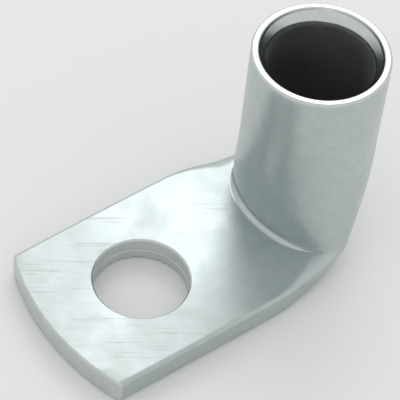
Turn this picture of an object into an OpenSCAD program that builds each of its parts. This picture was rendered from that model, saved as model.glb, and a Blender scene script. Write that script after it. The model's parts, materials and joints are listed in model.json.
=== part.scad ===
// Right-angle cable lug, made from one piece of tube.
// The round barrel takes the conductor. Below it the tube is pinched, folded forward and
// pressed flat into a palm with a stud hole.
// The origin is the centre of the stud hole on the contact face, +X runs to the free end
// of the palm and +Z up out of the barrel's mouth.

/* [Barrel] */
// Outer diameter of the tube
barrel_d = 14.8; // [13.4:0.1:16]
// Diameter of the bore that takes the conductor
bore_d = 11.6; // [10:0.1:12.4]
// Height of the mouth above the contact face
barrel_h = 26.2; // [22:0.1:34]
// Diameter of the bevel where it meets the rim
mouth_d = 13.1; // [12.6:0.1:13.3]
// Depth of the bevel inside the mouth
mouth_depth = 1.4; // [0.5:0.1:3]
// Rounding of the rim's outer edge
rim_round = 0.25; // [0.05:0.05:0.5]

/* [Palm] */
// Width across the palm
palm_w = 20.8; // [19:0.1:23]
// Thickness of the two pressed walls
palm_t = 3.1; // [2.6:0.1:3.8]
// Distance from the barrel's axis to the corners of the free end
palm_reach = 31.1; // [29:0.1:38]
// Rise of the curved free end over its corners
end_bulge = 2; // [0.5:0.1:4]
// Rounding of the palm's long edges
edge_r = 0.45; // [0.1:0.05:0.9]

/* [Stud hole] */
// Diameter of the stud hole
hole_d = 10.5; // [6:0.1:11.5]
// Distance from the barrel's axis to the centre of the hole
hole_reach = 21.4; // [20.5:0.1:23.5]
// Height of the seam between the two walls
seam_h = 1.3; // [1:0.05:1.8]
// Width and depth of the seam's groove
seam_groove = 0.1; // [0.04:0.01:0.2]

/* [Bend] */
// Height at which the outer bend starts
bend_h = 14.5; // [13:0.1:16]
// Distance from the barrel's axis to the end of the bend on the contact face
bend_reach = 7.7; // [6.5:0.1:9]
// Distance from the barrel's axis to the pinched front wall
crease_reach = 6.15; // [5.6:0.05:6.6]
// Radius of the crease between the front wall and the palm
crease_r = 0.7; // [0.3:0.05:1.2]
// Width of the tube at the foot of the barrel
foot_w = 17.4; // [16.4:0.1:18.4]
// Distance from the barrel's axis to where the palm is fully pressed
press_reach = 11.6; // [10.6:0.1:13]

/* [Hidden] */

barrel_r = barrel_d / 2;
bore_r = bore_d / 2;
mouth_r = mouth_d / 2;
wall = barrel_r - bore_r;
palm_half = palm_w / 2;
foot_half = foot_w / 2;
hole_r = hole_d / 2;
// Radius of the curved free end, from its chord and its rise
end_r = (pow(palm_half, 2) + pow(end_bulge, 2)) / (2 * end_bulge);
end_tip = palm_reach + end_bulge;
// Height at which the crease's fillet meets the barrel
fillet_z = palm_t + crease_r;
// How far the widest part of the foot lies in front of the barrel's axis
foot_set_forward = 0.5;
// Shape of the outer wall across the foot, 2 for a round one and more for a flatter one
foot_flatness = 2.65;
// Share of the palm's rings that lie on the bend, before the flat contact face
bend_share = 0.53;
// Points around the tube and around its bore
sides = 96;
bore_sides = 64;
// Steps around a ring from its front to the edge of the palm's flat top
edge_step = 15;
// Rings on the rim, the flared barrel, the crease, the folded palm and the pinched bore
rim_rings = 3;
barrel_rings = 12;
crease_rings = 5;
palm_rings = 13;
bore_rings = 12;
// How soon the palm's sides, top edges and underside reach their pressed form
side_rate = 2.4;
edge_rate = 2.8;
top_press = 4.25;
low_press = 1.3;
overlap = 1;

function mix(a, b, s) = a + (b - a) * s;
function limit(s) = max(0, min(1, s));
function ease(s) = limit(s) * limit(s) * (3 - 2 * limit(s));
// Share of the way down the bend, 1 at the palm's top face
function drop(z) = limit((bend_h - z) / (bend_h - palm_t));
// Share of the way down to the crease
function pinch(z) = limit((bend_h - z) / (bend_h - fillet_z));

// Side profile: the back wall follows a quarter of an ellipse, inset by a skin
function back_x(z, skin) =
    bend_reach - (bend_reach + barrel_r - skin)
    * sqrt(max(0, 1 - pow(max(0, bend_h - z) / (bend_h - skin), 2)));
// Side profile: the front wall leans in towards the crease
function front_x(z) = mix(barrel_r, crease_reach, pow(pinch(z), 4));
// The front wall of the void turns under the crease, concentric with its fillet
function void_front_x(z) =
    z >= fillet_z
    ? front_x(z) - wall
    : crease_reach + crease_r - sqrt(pow(wall + crease_r, 2) - pow(fillet_z - z, 2));
function half_width(z) = mix(barrel_r, foot_half, pow(drop(z), 2.2));

// Point of an oval section at angle a, from 0 at the front to 180 at the back
function oval(front, middle, back, half, flatness, a) =
    a <= 90
    ? [middle + (front - middle) * cos(a), half * sin(a)]
    : [middle - (middle - back) * pow(-cos(a), 2 / flatness), half * pow(sin(a), 2 / flatness)];
// Angle of step j, folded onto one side, and the side it lies on
function fold_angle(j, n) = let (t = (j + 0.5) * 360 / n) min(t, 360 - t);
function side_of(j, n) = j < n / 2 ? 1 : -1;

function round_ring(r, z) =
    [for (j = [0:sides - 1]) let (t = (j + 0.5) * 360 / sides) [r * cos(t), r * sin(t), z]];

// Outer section of the barrel at height z, spread outwards at the front by the fillet
function barrel_ring(z, spread) =
    let (
        s = drop(z),
        front = front_x(z),
        middle = foot_set_forward * s,
        half = half_width(z),
        flatness = mix(2, foot_flatness, s)
    )
    [for (j = [0:sides - 1])
        let (
            a = fold_angle(j, sides),
            p = oval(front, middle, back_x(z, 0), half, flatness, a),
            out = [half * cos(a), (front - middle) * sin(a)],
            move = spread * (1 - ease((a - 50) / 45)) / norm(out)
        )
        [p.x + out.x * move, side_of(j, sides) * (p.y + out.y * move), z]];

foot_ring = barrel_ring(palm_t, crease_r);
foot_edge = foot_ring[edge_step];
foot_depth = foot_edge.x - back_x(palm_t, 0);
palm_edge = palm_half - edge_r;

// Rounded end of the pressed section, as [depth, half width] for step i from the flat top
corner_steps = 7;
last_step = sides / 2 - 1 - edge_step;
function pressed(i) =
    i < corner_steps
    ? let (a = 90 * i / (corner_steps - 1))
        [edge_r * (1 - cos(a)), palm_edge + edge_r * sin(a)]
    : i == corner_steps
    ? [palm_t / 2, palm_half]
    : i <= 2 * corner_steps
    ? let (a = 90 * (i - corner_steps - 1) / (corner_steps - 1))
        [palm_t - edge_r * (1 - sin(a)), palm_edge + edge_r * cos(a)]
    : [palm_t, palm_edge * (last_step + 0.5 - i) / (last_step + 0.5 - 2 * corner_steps)];

// Lowest point of the back wall for share v of the way from the foot to the flat palm
start_angle = asin(1 - palm_t / bend_h);
function heel(v) =
    v < bend_share
    ? let (a = mix(start_angle, 90, v / bend_share))
        [bend_reach - (bend_reach + barrel_r) * cos(a) , bend_h * (1 - sin(a))]
    : [mix(bend_reach, press_reach, (v - bend_share) / (1 - bend_share)), 0];

// Section of the palm for share v: flat on top, its edge point on the palm's top face
function palm_ring(v) =
    let (
        edge = [
            mix(foot_edge.x, press_reach, v),
            mix(foot_edge.y, palm_edge, 1 - pow(1 - v, edge_rate))
        ],
        low = heel(v),
        depth = norm([edge.x - low.x, palm_t - low.y]),
        down = [(low.x - edge.x) / depth, (low.y - palm_t) / depth],
        half = mix(foot_half, palm_half, 1 - pow(1 - v, side_rate))
    )
    [for (j = [0:sides - 1])
        let (
            k = j < sides / 2 ? j : sides - 1 - j,
            i = k - edge_step,
            f = foot_ring[k]
        )
        i < 0
        ? [
            edge.x + (f.x - foot_edge.x) * pow(1 - v, 2),
            side_of(j, sides) * f.y * edge.y / foot_edge.y,
            palm_t
        ]
        : let (
            q = pressed(i),
            flat = mix(ease(v * top_press), ease(v * low_press), ease((i - 3) / corner_steps)),
            soft_y = i < corner_steps + 2
                ? mix(edge.y, half, (f.y - foot_edge.y) / (foot_half - foot_edge.y))
                : f.y * half / foot_half,
            hard_y = i <= corner_steps
                ? mix(edge.y, half, (q.y - palm_edge) / edge_r)
                : q.y * half / palm_half,
            in = depth * mix((foot_edge.x - f.x) / foot_depth, q.x / palm_t, flat)
        )
        [
            edge.x + down.x * in,
            side_of(j, sides) * mix(soft_y, hard_y, flat),
            palm_t + down.y * in
        ]];

// Section of the void inside the bend at height z, a little narrower than the bore
void_step = 0.15;
void_end_z = palm_t / 2 + 0.3;
function void_ring(z) =
    let (
        s = drop(z),
        front = void_front_x(z),
        back = back_x(z, wall),
        half = half_width(z) - wall - void_step - max(0, palm_t - z)
    )
    [for (j = [0:bore_sides - 1])
        let (
            p = oval(front - void_step, mix(0, (front + back) / 2, s), back + void_step, half,
                mix(2, foot_flatness, s), fold_angle(j, bore_sides))
        )
        [p.x, side_of(j, bore_sides) * p.y, z]];

function average(points) = [for (p = points) 1] * points / len(points);

// Closed solid through a list of rings of n points each, the first one on top.
// Each end is closed by triangles around its middle.
module loft(rings, n) {
    last = (len(rings) - 1) * n;
    top_middle = last + n;
    low_middle = top_middle + 1;
    polyhedron(
        points = [
            for (ring = rings) each ring,
            average(rings[0]),
            average(rings[len(rings) - 1])
        ],
        faces = [
            for (j = [0:n - 1]) [top_middle, (j + 1) % n, j],
            for (r = [0:len(rings) - 2], j = [0:n - 1])
                let (a = r * n + j, b = r * n + (j + 1) % n)
                each [[a, b, b + n], [a, b + n, a + n]],
            for (j = [0:n - 1]) [low_middle, last + j, last + (j + 1) % n]
        ],
        convexity = 6
    );
}

// The outer skin of the whole lug: round barrel, flare, crease, fold and flat palm
module pressed_tube() {
    loft([
        for (k = [0:rim_rings])
            let (a = 90 * k / rim_rings)
            round_ring(barrel_r - rim_round * (1 - sin(a)), barrel_h - rim_round * (1 - cos(a))),
        for (k = [0:barrel_rings]) barrel_ring(mix(bend_h, fillet_z, k / barrel_rings), 0),
        for (k = [1:crease_rings])
            let (a = 90 * k / crease_rings)
            barrel_ring(fillet_z - crease_r * sin(a), crease_r * (1 - cos(a))),
        for (k = [1:palm_rings]) palm_ring(k / palm_rings),
        [for (p = palm_ring(1)) [end_tip + overlap, p.y, p.z]]
    ], sides);
}

// Shears the free end of the palm to its curve
module end_cut() {
    translate([0, 0, -overlap])
        linear_extrude(palm_t + 2 * overlap)
            difference() {
                translate([palm_reach - overlap, -palm_w])
                    square([end_bulge + 3 * overlap, 2 * palm_w]);
                translate([end_tip - end_r, 0])
                    circle(r = end_r, $fn = 4 * sides);
            }
}

module bore_cut() {
    rotate_extrude($fn = sides)
        polygon([
            [0, bend_h],
            [bore_r, bend_h],
            [bore_r, barrel_h - mouth_depth],
            [mouth_r, barrel_h],
            [mouth_r, barrel_h + overlap],
            [0, barrel_h + overlap]
        ]);
    loft([for (k = [0:bore_rings]) void_ring(mix(bend_h, void_end_z, k / bore_rings))], bore_sides);
}

module stud_cut() {
    translate([0, 0, -overlap])
        cylinder(r = hole_r, h = palm_t + 2 * overlap, $fn = sides);
    // The seam between the two pressed walls shows as a hairline around the hole
    rotate_extrude($fn = sides)
        polygon([
            [hole_r - overlap, seam_h - seam_groove / 2],
            [hole_r, seam_h - seam_groove / 2],
            [hole_r + seam_groove, seam_h],
            [hole_r, seam_h + seam_groove / 2],
            [hole_r - overlap, seam_h + seam_groove / 2]
        ]);
}

module cable_lug() {
    color("silver")
        difference() {
            translate([-hole_reach, 0, 0])
                difference() {
                    pressed_tube();
                    bore_cut();
                    end_cut();
                }
            stud_cut();
        }
}

cable_lug();
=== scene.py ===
import json
import math

import bmesh
import bpy
from mathutils import Matrix, Vector


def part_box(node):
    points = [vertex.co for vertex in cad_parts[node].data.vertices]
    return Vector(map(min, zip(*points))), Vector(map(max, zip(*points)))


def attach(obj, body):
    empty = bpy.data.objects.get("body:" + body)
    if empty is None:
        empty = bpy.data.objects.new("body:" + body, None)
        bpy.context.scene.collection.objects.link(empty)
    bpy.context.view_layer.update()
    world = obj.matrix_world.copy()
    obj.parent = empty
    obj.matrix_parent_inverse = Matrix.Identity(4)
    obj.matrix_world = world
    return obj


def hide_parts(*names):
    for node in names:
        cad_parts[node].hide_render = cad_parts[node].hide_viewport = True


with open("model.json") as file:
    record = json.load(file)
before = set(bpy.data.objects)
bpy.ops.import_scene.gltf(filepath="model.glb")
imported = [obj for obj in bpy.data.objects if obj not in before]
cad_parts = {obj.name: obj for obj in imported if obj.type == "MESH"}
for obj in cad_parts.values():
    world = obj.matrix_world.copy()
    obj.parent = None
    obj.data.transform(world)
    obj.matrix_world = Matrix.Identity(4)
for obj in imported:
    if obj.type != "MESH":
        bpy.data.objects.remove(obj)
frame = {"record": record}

bl_info = {
    "name": "Right-angle cable lug",
    "version": (1, 0, 0),
    "blender": (4, 5, 0),
    "location": "View3D > Sidebar > Cable Lug",
    "description": "Builds a tinned tubular cable lug and its studio stage",
    "category": "Add Mesh",
}

LOW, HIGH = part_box("cable_lug")
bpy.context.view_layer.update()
MOUNTS = {mount["name"]: mount for mount in frame["record"]["mounts"]}
AXIS_X = MOUNTS["conductor_bore"]["pos_m"][0]
BORE_R = MOUNTS["conductor_bore"]["dims"]["r_mm"] / 1000
HOLE_R = MOUNTS["stud_hole"]["dims"]["r_mm"] / 1000
PALM_T = MOUNTS["stud_hole"]["dims"]["length_mm"] / 1000
MM = 0.001
# Vertices closer than this are one
WELD = 1e-7
SIDES = 160
HALF_SIDES = SIDES // 2
CORNER_STEPS = 11
EDGE_STEP = HALF_SIDES // 2 - CORNER_STEPS
EDGE_ANGLE = math.radians(61.9)
LAST_STEP = HALF_SIDES - 1 - EDGE_STEP
# Rings of each stretch of the skin, from the lip inwards and then outwards
LIP_RINGS = 4
BEVEL_RINGS = 5
BORE_RINGS = 15
VOID_RINGS = 24
RIM_RINGS = 5
BARREL_RINGS = 16
FLARE_RINGS = 30
CREASE_RINGS = 10
PALM_RINGS = 36
TAPER_RINGS = 12
END_RINGS = 5
FACE_RINGS = 4
# Where the lip's first ring lies between the mouth and the rim's rounding
LIP_SHARE = 0.35
INNER_ROUND = 0.16 * MM
# How far the void stops above the middle of the palm's thickness
VOID_STOP = 0.3 * MM
# The stud hole's broken edge, its seam groove, and how far its cutter stands out
HOLE_CHAMFER = 0.18 * MM
GROOVE = 0.07 * MM
GROOVE_DEPTH = 1.5 * GROOVE
CUTTER_OVERLAP = 1 * MM
SHARP_ANGLE = math.radians(32)


# ---------------------------------------------------------------- sizes

def length(name, description, default):
    return bpy.props.FloatProperty(
        name=name, description=description, default=default, unit="LENGTH", precision=5
    )


class LugSizes(bpy.types.PropertyGroup):
    barrel_r: length("Barrel radius", "Outer radius of the round tube", AXIS_X - LOW[0])
    barrel_h: length("Barrel height", "Height of the mouth over the contact face", HIGH[2])
    bore_r: length("Bore radius", "Inner radius of the barrel", BORE_R)
    mouth_r: length("Mouth radius", "Radius of the bevel at the rim", 6.55 * MM)
    mouth_depth: length("Mouth depth", "Depth of the bevel inside the mouth", 1.4 * MM)
    rim_round: length("Rim rounding", "Rounding of the rim's edges", 0.25 * MM)
    palm_half: length("Palm half width", "Half the width of the palm", HIGH[1])
    palm_t: length("Palm thickness", "Thickness of the two pressed walls", PALM_T)
    end_tip: length("Free end", "Distance from the barrel's axis to the tip", HIGH[0] - AXIS_X)
    end_bulge: length("End bulge", "Rise of the curved end over its corners", 2 * MM)
    end_taper: length("End taper", "How much narrower each side is at the free end", 0.2 * MM)
    edge_r: length("Edge rounding", "Rounding of the palm's long edges", 0.45 * MM)
    end_r: length("End rounding", "Rounding of the sheared end's edges", 0.22 * MM)
    hole_r: length("Hole radius", "Radius of the stud hole", HOLE_R)
    bend_h: length("Bend height", "Height at which the outer bend starts", 14.5 * MM)
    bend_reach: length("Bend reach", "Distance from the axis to the bend's end", 7.7 * MM)
    crease_reach: length("Crease reach", "Distance from the axis to the pinched wall", 6.15 * MM)
    crease_r: length("Crease radius", "Radius of the crease above the palm", 0.7 * MM)
    foot_half: length("Foot half width", "Half the width of the barrel's foot", 8.7 * MM)
    foot_forward: length("Foot forward", "How far the foot's widest part lies forward", 0.5 * MM)
    press_reach: length("Press reach", "Distance from the axis to the fully pressed palm", 11.6 * MM)
    seam_h: length("Seam height", "Height of the seam between the pressed walls", 1.3 * MM)


# ---------------------------------------------------------------- the form of the tube

def mix(a, b, s):
    return a + (b - a) * s


def limit(s):
    return max(0.0, min(1.0, s))


def ease(s):
    s = limit(s)
    return s * s * (3 - 2 * s)


class TubeForm:
    """The sections of the pressed tube, in metres from the barrel's axis."""

    # Shape of the outer wall across the foot, 2 for a round one and more for a flatter one
    flatness = 2.65
    # How the palm's sides, top edges and underside reach their pressed form
    side_start = 1.1
    side_rate = 2.6
    flare_rate = 2.2
    edge_rate = 1.08
    roll_rate = 2.5
    top_press = 1.7
    low_press = 1.3
    # Steps below the palm's top edge at which its sides follow the underside
    soft_corner = 5
    # Share of the palm's rings that lie on the bend
    bend_share = 0.53
    front_rate = 4
    # Angles round the barrel, in degrees, between which the crease's fillet fades out
    fade_start = 20
    fade_end = 62

    def __init__(self, s):
        self.s = s
        self.fillet_z = s.palm_t + s.crease_r
        self.wall = s.barrel_r - s.bore_r
        self.palm_edge = s.palm_half - s.edge_r
        self.foot = self.barrel_section(s.palm_t, s.crease_r)
        self.foot_edge = self.foot(EDGE_STEP)
        self.foot_depth = self.foot_edge.x - self.back_x(s.palm_t, 0)
        self.roll_steps = (math.pi / 2 - EDGE_ANGLE) / (math.pi - EDGE_ANGLE) * (
            HALF_SIDES - EDGE_STEP - 0.5
        )
        self.roll_depth = (self.foot_edge.x - s.foot_forward) / self.foot_depth
        self.start_angle = math.asin(1 - s.palm_t / s.bend_h)

    def drop(self, z):
        return limit((self.s.bend_h - z) / (self.s.bend_h - self.s.palm_t))

    def pinch(self, z):
        return limit((self.s.bend_h - z) / (self.s.bend_h - self.fillet_z))

    def back_x(self, z, skin):
        s = self.s
        rise = max(0.0, s.bend_h - z) / (s.bend_h - skin)
        return s.bend_reach - (s.bend_reach + s.barrel_r - skin) * math.sqrt(max(0, 1 - rise**2))

    def front_x(self, z):
        return mix(self.s.barrel_r, self.s.crease_reach, self.pinch(z) ** self.front_rate)

    def half_width(self, z):
        return mix(self.s.barrel_r, self.s.foot_half, self.drop(z) ** self.flare_rate)

    @staticmethod
    def oval(front, middle, back, half, flatness, angle):
        c, s = math.cos(angle), math.sin(angle)
        if c >= 0:
            return middle + (front - middle) * c, half * s
        return middle - (middle - back) * (-c) ** (2 / flatness), half * s ** (2 / flatness)

    def barrel_section(self, z, spread):
        """Places step j of a ring at height z, spread outwards at the front by the fillet."""
        s = self.s
        share = self.drop(z)
        front, back = self.front_x(z), self.back_x(z, 0)
        middle = s.foot_forward * share
        half = self.half_width(z)
        flatness = mix(2, self.flatness, share)

        def place(j):
            angle, side = fold(j)
            x, y = self.oval(front, middle, back, half, flatness, angle)
            out = Vector((half * math.cos(angle), (front - middle) * math.sin(angle)))
            faded = (math.degrees(angle) - self.fade_start) / (self.fade_end - self.fade_start)
            move = spread * (1 - ease(faded)) / out.length
            return Vector((x + out.x * move, side * (y + out.y * move), z))

        return place

    def pressed(self, i):
        """Depth and half width of the pressed palm's section at step i from its flat top."""
        s, last = self.s, CORNER_STEPS - 1
        if i < CORNER_STEPS:
            angle = math.pi / 2 * i / last
            return s.edge_r * (1 - math.cos(angle)), self.palm_edge + s.edge_r * math.sin(angle)
        if i < 2 * CORNER_STEPS:
            angle = math.pi / 2 * (i - CORNER_STEPS) / last
            depth = s.palm_t - s.edge_r * (1 - math.sin(angle))
            return depth, self.palm_edge + s.edge_r * math.cos(angle)
        left = LAST_STEP + 0.5 - i
        return s.palm_t, self.palm_edge * left / (LAST_STEP + 1.5 - 2 * CORNER_STEPS)

    def heel(self, v):
        """The lowest point of the tube's back wall at share v of the fold, as x and z."""
        s = self.s
        if v < self.bend_share:
            angle = mix(self.start_angle, math.pi / 2, v / self.bend_share)
            x = s.bend_reach - (s.bend_reach + s.barrel_r) * math.cos(angle)
            return x, s.bend_h * (1 - math.sin(angle))
        return mix(s.bend_reach, s.press_reach, (v - self.bend_share) / (1 - self.bend_share)), 0.0

    def palm_section(self, v):
        """Places step j of the folded section at share v, whose flat top is the palm's face."""
        s = self.s
        edge_x = mix(self.foot_edge.x, s.press_reach, v)
        edge_y = mix(self.foot_edge.y, self.palm_edge, ease(v * self.edge_rate))
        low_x, low_z = self.heel(v)
        depth = math.hypot(edge_x - low_x, s.palm_t - low_z)
        down_x, down_z = (low_x - edge_x) / depth, (low_z - s.palm_t) / depth
        half = mix(s.foot_half, s.palm_half, 1 - (1 - v**self.side_start) ** self.side_rate)

        def place(j):
            side = 1 if j < HALF_SIDES else -1
            k = min(j, SIDES - 1 - j)
            i = k - EDGE_STEP
            f = self.foot(k)
            if i < 0:
                x = edge_x + (f.x - self.foot_edge.x) * (1 - v) ** 2
                return Vector((x, side * f.y * edge_y / self.foot_edge.y, s.palm_t))
            q_depth, q_half = self.pressed(i)
            top, low = ease(v * self.top_press), ease(v * self.low_press)
            flat = mix(top, low, ease((i - self.soft_corner) / CORNER_STEPS))
            rolled = ease(v * self.roll_rate) if i < self.roll_steps else 0
            turn = math.pi / 2 * i / self.roll_steps
            if i < self.roll_steps:
                outward = (f.y - self.foot_edge.y) / (s.foot_half - self.foot_edge.y)
                oval_y = mix(edge_y, half, outward)
            else:
                oval_y = f.y * half / s.foot_half
            oval_in = (self.foot_edge.x - f.x) / self.foot_depth
            soft_y = mix(oval_y, mix(edge_y, half, math.sin(turn)), rolled)
            soft_in = mix(oval_in, self.roll_depth * (1 - math.cos(turn)), rolled)
            if i <= CORNER_STEPS:
                hard_y = mix(edge_y, half, (q_half - self.palm_edge) / s.edge_r)
            else:
                hard_y = q_half * half / s.palm_half
            inward = depth * mix(soft_in, q_depth / s.palm_t, flat)
            return Vector((
                edge_x + down_x * inward,
                side * mix(soft_y, hard_y, flat),
                s.palm_t + down_z * inward,
            ))

        return place

    def void_front_x(self, z):
        s = self.s
        if z >= self.fillet_z:
            return self.front_x(z) - self.wall
        reach = math.sqrt((self.wall + s.crease_r) ** 2 - (self.fillet_z - z) ** 2)
        return s.crease_reach + s.crease_r - reach

    def void_section(self, z):
        """Section of the void inside the bend, which narrows to the seam."""
        s = self.s
        share = self.drop(z)
        front, back = self.void_front_x(z), self.back_x(z, self.wall)
        middle = mix(0, (front + back) / 2, share)
        half = self.half_width(z) - self.wall - max(0, s.palm_t - z)
        flatness = mix(2, self.flatness, share)

        def place(j):
            angle, side = fold(j)
            x, y = self.oval(front, middle, back, half, flatness, angle)
            return Vector((x, side * y, z))

        return place

    def void_centre(self, z):
        return Vector(((self.void_front_x(z) + self.back_x(z, self.wall)) / 2, 0, z))

    def end_x(self, y):
        """The free end's convex curve: where it lies at a distance y from the middle."""
        s = self.s
        radius = (s.palm_half**2 + s.end_bulge**2) / (2 * s.end_bulge)
        return s.end_tip - radius + math.sqrt(radius**2 - y**2)

    def end_section(self, flat, share, angle):
        """The flat palm's section carried share of the way to the free end, then rounded in."""
        s = self.s
        inset = s.end_r * (1 - math.cos(angle))
        back = s.end_r * (1 - math.sin(angle))

        def place(j):
            k = min(j, SIDES - 1 - j)
            p = flat(j)
            if k >= HALF_SIDES // 2:
                partner = flat(HALF_SIDES - 1 - k)
                p.y = mix(p.y, math.copysign(partner.y, p.y), share)
            half = s.palm_t / 2
            narrow = s.end_taper * share**2 + inset
            y = p.y * (1 - narrow / s.palm_half)
            z = half + (p.z - half) * (1 - inset / half)
            return Vector((mix(p.x, self.end_x(y) - back, share), y, z))

        return place

    def end_face(self, flat, share):
        """The free end's face, from its rounded rim to its middle line."""
        rim = self.end_section(flat, 1, math.pi / 2)

        def place(j):
            p = rim(j)
            p.z = mix(p.z, self.s.palm_t / 2, share)
            return p

        return place


def fold(j):
    """Angle of step j folded onto one side of the tube, and which side it lies on."""
    k = min(j, SIDES - 1 - j)
    if k <= EDGE_STEP:
        turn = EDGE_ANGLE * (k + 0.5) / (EDGE_STEP + 0.5)
    else:
        turn = mix(EDGE_ANGLE, math.pi, (k - EDGE_STEP) / (HALF_SIDES - EDGE_STEP - 0.5))
    return turn, 1 if j < HALF_SIDES else -1


def round_section(radius, z):
    def place(j):
        turn, side = fold(j)
        return Vector((radius * math.cos(turn), side * radius * math.sin(turn), z))

    return place


# ---------------------------------------------------------------- rings

PALM_SKIN, BARREL_SKIN, CREASE_SKIN, CUT_SKIN, BORE_SKIN, END_SKIN, HOLE_SKIN = range(7)


class Tube:
    """Grows one skin out of a ring of edges, each new ring placed by a section."""

    def __init__(self, bm, first):
        self.bm = bm
        made = bmesh.ops.create_circle(bm, segments=SIDES, radius=1)
        self.first = made["verts"]
        self.ring = list(self.first)
        self.put(self.first, first)

    @staticmethod
    def put(ring, section):
        for j, vertex in enumerate(ring):
            vertex.co = section(j)

    def rewind(self):
        self.ring = list(self.first)

    def grow(self, section, skin):
        """Extrudes the ring's edges to a new section and gives the new faces a skin."""
        count = len(self.ring)
        edges = [
            self.bm.edges.get((self.ring[j], self.ring[(j + 1) % count])) for j in range(count)
        ]
        order = {vertex: j for j, vertex in enumerate(self.ring)}
        made = bmesh.ops.extrude_edge_only(self.bm, edges=edges)["geom"]
        new_faces = [item for item in made if isinstance(item, bmesh.types.BMFace)]
        fresh = [None] * count
        for face in new_faces:
            face.material_index = skin
            for edge in face.edges:
                a, b = edge.verts
                if (a in order) != (b in order):
                    old, new = (a, b) if a in order else (b, a)
                    fresh[order[old]] = new
        self.ring = fresh
        self.put(fresh, section)
        return fresh


def lug_mesh(s):
    """The whole lug as one skin, in the barrel's frame."""
    form = TubeForm(s)
    bm = bmesh.new()
    lip = mix(s.mouth_r, s.barrel_r - s.rim_round, LIP_SHARE)
    tube = Tube(bm, round_section(lip, s.barrel_h))

    # Inside: the lip's inner edge, the bevel, the bore and the pinched void
    for k in range(1, LIP_RINGS + 1):
        angle = math.pi / 2 * k / LIP_RINGS
        tube.grow(
            round_section(
                s.mouth_r + INNER_ROUND * (1 - math.sin(angle)),
                s.barrel_h - INNER_ROUND * (1 - math.cos(angle)),
            ),
            CUT_SKIN,
        )
    for k in range(1, BEVEL_RINGS + 1):
        share = k / BEVEL_RINGS
        tube.grow(
            round_section(
                mix(s.mouth_r, s.bore_r, share),
                mix(s.barrel_h - INNER_ROUND, s.barrel_h - s.mouth_depth, share),
            ),
            CUT_SKIN,
        )
    for k in range(1, BORE_RINGS + 1):
        height = mix(s.barrel_h - s.mouth_depth, s.bend_h, k / BORE_RINGS)
        tube.grow(round_section(s.bore_r, height), BORE_SKIN)
    low = s.palm_t / 2 + VOID_STOP
    for k in range(1, VOID_RINGS + 1):
        tube.grow(form.void_section(mix(s.bend_h, low, k / VOID_RINGS)), BORE_SKIN)
    centre = form.void_centre(low)
    tube.grow(lambda j: centre, BORE_SKIN)
    bmesh.ops.remove_doubles(bm, verts=tube.ring, dist=WELD)

    # Outside: the rim, the barrel, the flare, the crease, the fold and the flat palm
    tube.rewind()
    tube.grow(round_section(s.barrel_r - s.rim_round, s.barrel_h), CUT_SKIN)
    for k in range(1, RIM_RINGS + 1):
        angle = math.pi / 2 * k / RIM_RINGS
        tube.grow(
            round_section(
                s.barrel_r - s.rim_round * (1 - math.sin(angle)),
                s.barrel_h - s.rim_round * (1 - math.cos(angle)),
            ),
            CUT_SKIN,
        )
    for k in range(1, BARREL_RINGS + 1):
        height = mix(s.barrel_h - s.rim_round, s.bend_h, k / BARREL_RINGS)
        tube.grow(form.barrel_section(height, 0), BARREL_SKIN)
    for k in range(1, FLARE_RINGS + 1):
        height = mix(s.bend_h, form.fillet_z, k / FLARE_RINGS)
        tube.grow(form.barrel_section(height, 0), BARREL_SKIN)
    for k in range(1, CREASE_RINGS + 1):
        angle = math.pi / 2 * k / CREASE_RINGS
        section = form.barrel_section(
            form.fillet_z - s.crease_r * math.sin(angle), s.crease_r * (1 - math.cos(angle))
        )
        tube.grow(section, CREASE_SKIN)
    for k in range(1, PALM_RINGS + 1):
        tube.grow(form.palm_section(k / PALM_RINGS), PALM_SKIN)
    flat = form.palm_section(1)
    for k in range(1, TAPER_RINGS + 1):
        tube.grow(form.end_section(flat, k / TAPER_RINGS, 0), PALM_SKIN)
    for k in range(1, END_RINGS + 1):
        tube.grow(form.end_section(flat, 1, math.pi / 2 * k / END_RINGS), END_SKIN)
    for k in range(1, FACE_RINGS + 1):
        tube.grow(form.end_face(flat, k / FACE_RINGS), END_SKIN)
    bmesh.ops.remove_doubles(bm, verts=tube.ring, dist=WELD)
    bmesh.ops.recalc_face_normals(bm, faces=bm.faces)
    bmesh.ops.translate(bm, verts=bm.verts, vec=(AXIS_X, 0, 0))
    return bm


def lathe(bm, profile, skin):
    """Turns a profile of (radius, height) pairs round the Z axis into a closed solid."""
    verts = [bm.verts.new((radius, 0, z)) for radius, z in profile]
    edges = [bm.edges.new((a, b)) for a, b in zip(verts, verts[1:])]
    bmesh.ops.spin(
        bm, geom=verts + edges, cent=(0, 0, 0), axis=(0, 0, 1),
        angle=2 * math.pi, steps=SIDES, use_merge=True,
    )
    bmesh.ops.remove_doubles(bm, verts=bm.verts, dist=WELD)
    bmesh.ops.recalc_face_normals(bm, faces=bm.faces)
    for face in bm.faces:
        face.material_index = skin


def stud_cutter(s):
    """The stud hole with its broken edges and the seam between the two pressed walls."""
    broken_r = s.hole_r + HOLE_CHAMFER
    bm = bmesh.new()
    lathe(bm, [
        (0, -CUTTER_OVERLAP),
        (broken_r, -CUTTER_OVERLAP),
        (broken_r, 0),
        (s.hole_r, HOLE_CHAMFER),
        (s.hole_r, s.seam_h - GROOVE),
        (s.hole_r + GROOVE_DEPTH, s.seam_h),
        (s.hole_r, s.seam_h + GROOVE),
        (s.hole_r, s.palm_t - HOLE_CHAMFER),
        (broken_r, s.palm_t),
        (broken_r, s.palm_t + CUTTER_OVERLAP),
        (0, s.palm_t + CUTTER_OVERLAP),
    ], HOLE_SKIN)
    return bm


def new_object(name, bm, materials=()):
    mesh = bpy.data.meshes.new(name)
    bm.to_mesh(mesh)
    bm.free()
    for material in materials:
        mesh.materials.append(material)
    obj = bpy.data.objects.new(name, mesh)
    bpy.context.scene.collection.objects.link(obj)
    return obj


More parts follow.
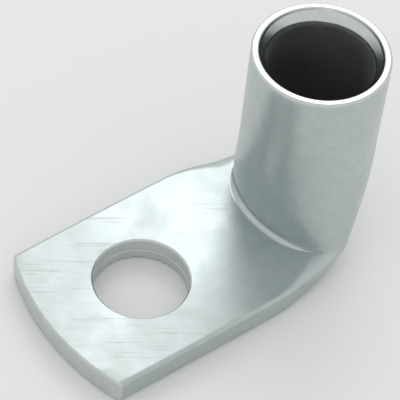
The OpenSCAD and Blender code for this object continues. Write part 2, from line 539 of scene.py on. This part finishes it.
def cut_away(obj, cutter):
    """Cuts cutter out of obj for good, and removes the cutter."""
    boolean = obj.modifiers.new("Stud hole", "BOOLEAN")
    boolean.object = cutter
    boolean.operation = "DIFFERENCE"
    boolean.solver = "EXACT"
    boolean.material_mode = "INDEX"
    bpy.context.view_layer.update()
    graph = bpy.context.evaluated_depsgraph_get()
    cut = bpy.data.meshes.new_from_object(obj.evaluated_get(graph))
    whole = obj.data
    cut.name = whole.name
    obj.modifiers.clear()
    obj.data = cut
    bpy.data.meshes.remove(whole)
    bpy.data.meshes.remove(cutter.data)


# ---------------------------------------------------------------- materials

class Graph:
    """Adds nodes to a tree and joins them by socket name."""

    def __init__(self, tree):
        self.tree = tree

    def add(self, kind, at, inputs=None, **settings):
        node = self.tree.nodes.new(kind)
        node.location = (at[0] * 220, -at[1] * 220)
        for name, value in settings.items():
            setattr(node, name, value)
        for name, value in (inputs or {}).items():
            socket = node.inputs[name]
            if isinstance(value, bpy.types.NodeSocket):
                self.tree.links.new(value, socket)
            else:
                socket.default_value = value
        return node

    def math(self, operation, at, a, b=0.0, c=0.0, clamp=False):
        node = self.add("ShaderNodeMath", at, {0: a, 1: b, 2: c}, operation=operation)
        node.use_clamp = clamp
        return node.outputs[0]

    def ramp(self, at, value, low, high):
        node = self.add(
            "ShaderNodeMapRange", at,
            {"Value": value, "From Min": low, "From Max": high},
            interpolation_type="SMOOTHSTEP",
        )
        return node.outputs["Result"]


def group(name, inputs, outputs):
    """A new node group with named sockets, given as {name: (socket type, default)}."""
    tree = bpy.data.node_groups.new(name, "ShaderNodeTree")
    for label, (kind, default) in inputs.items():
        socket = tree.interface.new_socket(label, in_out="INPUT", socket_type=kind)
        if default is not None:
            socket.default_value = default
    for label, kind in outputs.items():
        tree.interface.new_socket(label, in_out="OUTPUT", socket_type=kind)
    graph = Graph(tree)
    source = graph.add("NodeGroupInput", (0, 0))
    sink = graph.add("NodeGroupOutput", (8, 0))
    return tree, graph, source.outputs, sink.inputs


VECTOR, FLOAT = "NodeSocketVector", "NodeSocketFloat"


def scratches_group():
    """Fine straight scratches along the vector's X axis."""
    tree, graph, given, result = group(
        "Scratches",
        {"Vector": (VECTOR, None), "Density": (FLOAT, 1.0), "Stretch": (FLOAT, 30.0)},
        {"Mask": FLOAT},
    )
    stretch = given["Stretch"]
    scale = graph.add("ShaderNodeCombineXYZ", (1, 0), {0: 1.0, 1: stretch, 2: stretch})
    long = graph.add(
        "ShaderNodeVectorMath", (2, 0), {0: given["Vector"], 1: scale.outputs[0]},
        operation="MULTIPLY",
    )
    fine = graph.add(
        "ShaderNodeTexNoise", (3, 0),
        {"Vector": long.outputs[0], "Scale": 120.0, "Detail": 3.0, "Roughness": 0.6},
    )
    patches = graph.add(
        "ShaderNodeTexNoise", (3, 1), {"Vector": given["Vector"], "Scale": 160.0, "Detail": 2.0}
    )
    line = graph.ramp((4, 0), fine.outputs["Fac"], 0.56, 0.68)
    where = graph.ramp((4, 1), patches.outputs["Fac"], 0.4, 0.62)
    both = graph.math("MULTIPLY", (5, 0), line, where)
    mask = graph.math("MULTIPLY", (6, 0), both, given["Density"], clamp=True)
    graph.tree.links.new(mask, result["Mask"])
    return tree


def mottling_group():
    """Uneven tin: broad clouds, small blotches and fine grain, each from 0 to 1."""
    tree, graph, given, result = group(
        "Mottling", {"Vector": (VECTOR, None)}, {"Clouds": FLOAT, "Blotches": FLOAT, "Grain": FLOAT}
    )
    for row, (label, scale, detail, low, high) in enumerate((
        ("Clouds", 130.0, 2.0, 0.3, 0.7),
        ("Blotches", 700.0, 4.0, 0.35, 0.65),
        ("Grain", 4200.0, 3.0, 0.3, 0.7),
    )):
        noise = graph.add(
            "ShaderNodeTexNoise", (2, row),
            {"Vector": given["Vector"], "Scale": scale, "Detail": detail, "Roughness": 0.55},
        )
        graph.tree.links.new(graph.ramp((4, row), noise.outputs["Fac"], low, high), result[label])
    return tree


# How much the tin's unevenness shows in its colour, its roughness and its surface
TINT = 0.06
ROUGH_SPREAD = 0.1
ROUGH_GRAIN = 0.02
ROUGH_SCRATCH = 0.1
BLOTCH_HEIGHT = 0.5
SCRATCH_HEIGHT = -1.0
BUMP_STRENGTH = 0.05
BUMP_DISTANCE = 0.05 * MM


def metal(name, colour, roughness, groups, turn=0.0):
    """Tinned metal of a colour and roughness, its scratches turned about Z by an angle."""
    material = bpy.data.materials.new(name)
    material.use_nodes = True
    material.node_tree.nodes.clear()
    graph = Graph(material.node_tree)
    place = graph.add("ShaderNodeTexCoord", (0, 0)).outputs["Object"]
    turned = graph.add(
        "ShaderNodeMapping", (1, 1), {"Vector": place, "Rotation": (0, 0, turn)}
    ).outputs["Vector"]
    uneven = graph.add("ShaderNodeGroup", (2, 0), node_tree=groups["Mottling"])
    marks = graph.add("ShaderNodeGroup", (2, 1), node_tree=groups["Scratches"])
    graph.tree.links.new(place, uneven.inputs["Vector"])
    graph.tree.links.new(turned, marks.inputs["Vector"])
    blotches, grain = uneven.outputs["Blotches"], uneven.outputs["Grain"]
    mask = marks.outputs["Mask"]
    shade = graph.math("MULTIPLY_ADD", (3, 0), blotches, TINT, 1 - TINT / 2)
    base = graph.add(
        "ShaderNodeVectorMath", (4, 0), {0: colour, "Scale": shade}, operation="SCALE"
    ).outputs[0]
    least = roughness - ROUGH_SPREAD / 2
    rough = graph.math("MULTIPLY_ADD", (3, 1), uneven.outputs["Clouds"], ROUGH_SPREAD, least)
    rough = graph.math("MULTIPLY_ADD", (4, 1), grain, ROUGH_GRAIN, rough)
    rough = graph.math("MULTIPLY_ADD", (5, 1), mask, ROUGH_SCRATCH, rough, clamp=True)
    height = graph.math("MULTIPLY_ADD", (4, 2), blotches, BLOTCH_HEIGHT, grain)
    height = graph.math("MULTIPLY_ADD", (5, 2), mask, SCRATCH_HEIGHT, height)
    bump = graph.add(
        "ShaderNodeBump", (6, 2),
        {"Height": height, "Strength": BUMP_STRENGTH, "Distance": BUMP_DISTANCE},
    )
    shader = graph.add(
        "ShaderNodeBsdfPrincipled", (7, 0),
        {"Base Color": base, "Metallic": 1.0, "Roughness": rough, "Normal": bump.outputs["Normal"]},
    )
    out = graph.add("ShaderNodeOutputMaterial", (9, 0))
    graph.tree.links.new(shader.outputs["BSDF"], out.inputs["Surface"])
    return material


def lug_materials():
    groups = {"Mottling": mottling_group(), "Scratches": scratches_group()}
    tin = (0.52, 0.58, 0.575)
    bright = (0.62, 0.66, 0.66)
    return [
        metal("palm_tin", tin, 0.36, groups, turn=0.6),
        metal("barrel_tin", tin, 0.3, groups),
        metal("crease_tin", tin, 0.24, groups),
        metal("cut_tin", bright, 0.12, groups),
        metal("bore_tin", (0.4, 0.42, 0.4), 0.5, groups),
        metal("end_tin", bright, 0.3, groups),
        metal("hole_tin", bright, 0.3, groups),
    ]


# ---------------------------------------------------------------- operators

class LUG_OT_build(bpy.types.Operator):
    """Builds the lug: barrel, crease, folded palm, free end and stud hole"""

    bl_idname = "lug.build"
    bl_label = "Build Lug"
    bl_options = {"REGISTER", "UNDO"}

    def execute(self, context):
        sizes = context.scene.lug_sizes
        lug = new_object("lug", lug_mesh(sizes), lug_materials())
        cut_away(lug, new_object("stud_cutter", stud_cutter(sizes)))
        if not lug.data.polygons:
            raise RuntimeError("the stud hole's cut left nothing of the lug")
        lug.data.shade_smooth()
        lug.data.set_sharp_from_angle(angle=SHARP_ANGLE)
        normals = lug.modifiers.new("Even shading", "WEIGHTED_NORMAL")
        normals.keep_sharp = True
        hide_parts("cable_lug")
        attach(lug, "root")
        return {"FINISHED"}


def area_light(name, place, target, size, energy):
    light = bpy.data.lights.new(name, "AREA")
    light.shape = "RECTANGLE"
    light.size, light.size_y = size
    light.energy = energy
    obj = bpy.data.objects.new(name, light)
    obj.location = place
    obj.rotation_euler = (Vector(target) - Vector(place)).to_track_quat("-Z", "Y").to_euler()
    bpy.context.scene.collection.objects.link(obj)


class LUG_OT_stage(bpy.types.Operator):
    """Sets up the camera, the floor, the white surround and the studio lights"""

    bl_idname = "lug.stage"
    bl_label = "Build Stage"
    bl_options = {"REGISTER", "UNDO"}

    def execute(self, context):
        scene = context.scene
        data = bpy.data.cameras.new("camera")
        data.lens, data.sensor_width = CAMERA_LENS, CAMERA_SENSOR
        data.clip_start, data.clip_end = CAMERA_CLIP
        camera = bpy.data.objects.new("camera", data)
        scene.collection.objects.link(camera)
        scene.camera = camera
        camera.matrix_world = camera_matrix()

        bm = bmesh.new()
        bmesh.ops.create_grid(bm, x_segments=1, y_segments=1, size=FLOOR_HALF)
        floor = new_object("floor", bm, [plain("floor_white", FLOOR_COLOUR, FLOOR_ROUGHNESS)])
        floor.location.z = LOW[2] - FLOOR_GAP

        world = bpy.data.worlds.new("studio")
        scene.world = world
        world.use_nodes = True
        world.node_tree.nodes.clear()
        graph = Graph(world.node_tree)
        path = graph.add("ShaderNodeLightPath", (0, 0))
        seen = graph.add("ShaderNodeBackground", (1, 0), {"Color": WHITE, "Strength": 1.0})
        around = graph.add(
            "ShaderNodeBackground", (1, 1), {"Color": WHITE, "Strength": SURROUND_STRENGTH}
        )
        both = graph.add(
            "ShaderNodeMixShader", (2, 0),
            {0: path.outputs["Is Camera Ray"], 1: around.outputs[0], 2: seen.outputs[0]},
        )
        out = graph.add("ShaderNodeOutputWorld", (3, 0))
        graph.tree.links.new(both.outputs[0], out.inputs["Surface"])

        scene.view_settings.view_transform = "Standard"
        area_light("key", KEY_PLACE, (LOW + HIGH) / 2, KEY_SIZE, KEY_ENERGY)
        return {"FINISHED"}


# The stage, in metres and watts
CAMERA_LENS = 184.8
CAMERA_SENSOR = 36
CAMERA_CLIP = (0.01, 10)
CAMERA_PLACE = Vector((84.66, 104.52, 178.62)) * MM
CAMERA_RIGHT = Vector((-0.80470, 0.58916, 0.07317))
CAMERA_FORWARD = Vector((-0.42214, -0.48117, -0.76829))
FLOOR_HALF = 0.6
FLOOR_GAP = 0.1 * MM
FLOOR_COLOUR = (0.9, 0.9, 0.9)
FLOOR_ROUGHNESS = 0.6
WHITE = (1, 1, 1, 1)
SURROUND_STRENGTH = 0.8
KEY_PLACE = (-0.3, -0.35, 0.5)
KEY_SIZE = (0.3, 0.3)
KEY_ENERGY = 0.5


def camera_matrix():
    back = -CAMERA_FORWARD.normalized()
    up = back.cross(CAMERA_RIGHT).normalized()
    turn = Matrix((up.cross(back), up, back)).transposed().to_4x4()
    return Matrix.Translation(CAMERA_PLACE) @ turn


def plain(name, colour, roughness):
    material = bpy.data.materials.new(name)
    material.use_nodes = True
    shader = material.node_tree.nodes["Principled BSDF"]
    shader.inputs["Base Color"].default_value = (*colour, 1)
    shader.inputs["Roughness"].default_value = roughness
    return material


class LUG_PT_panel(bpy.types.Panel):
    bl_idname = "LUG_PT_panel"
    bl_label = "Cable Lug"
    bl_space_type = "VIEW_3D"
    bl_region_type = "UI"
    bl_category = "Cable Lug"

    def draw(self, context):
        for name in LugSizes.__annotations__:
            self.layout.prop(context.scene.lug_sizes, name)
        self.layout.operator("lug.build")
        self.layout.operator("lug.stage")


CLASSES = (LugSizes, LUG_OT_build, LUG_OT_stage, LUG_PT_panel)


def register():
    for cls in CLASSES:
        bpy.utils.register_class(cls)
    bpy.types.Scene.lug_sizes = bpy.props.PointerProperty(type=LugSizes)


def unregister():
    del bpy.types.Scene.lug_sizes
    for cls in reversed(CLASSES):
        bpy.utils.unregister_class(cls)


def main():
    register()
    bpy.ops.lug.build()
    bpy.ops.lug.stage()


if __name__ == "__main__":
    main()
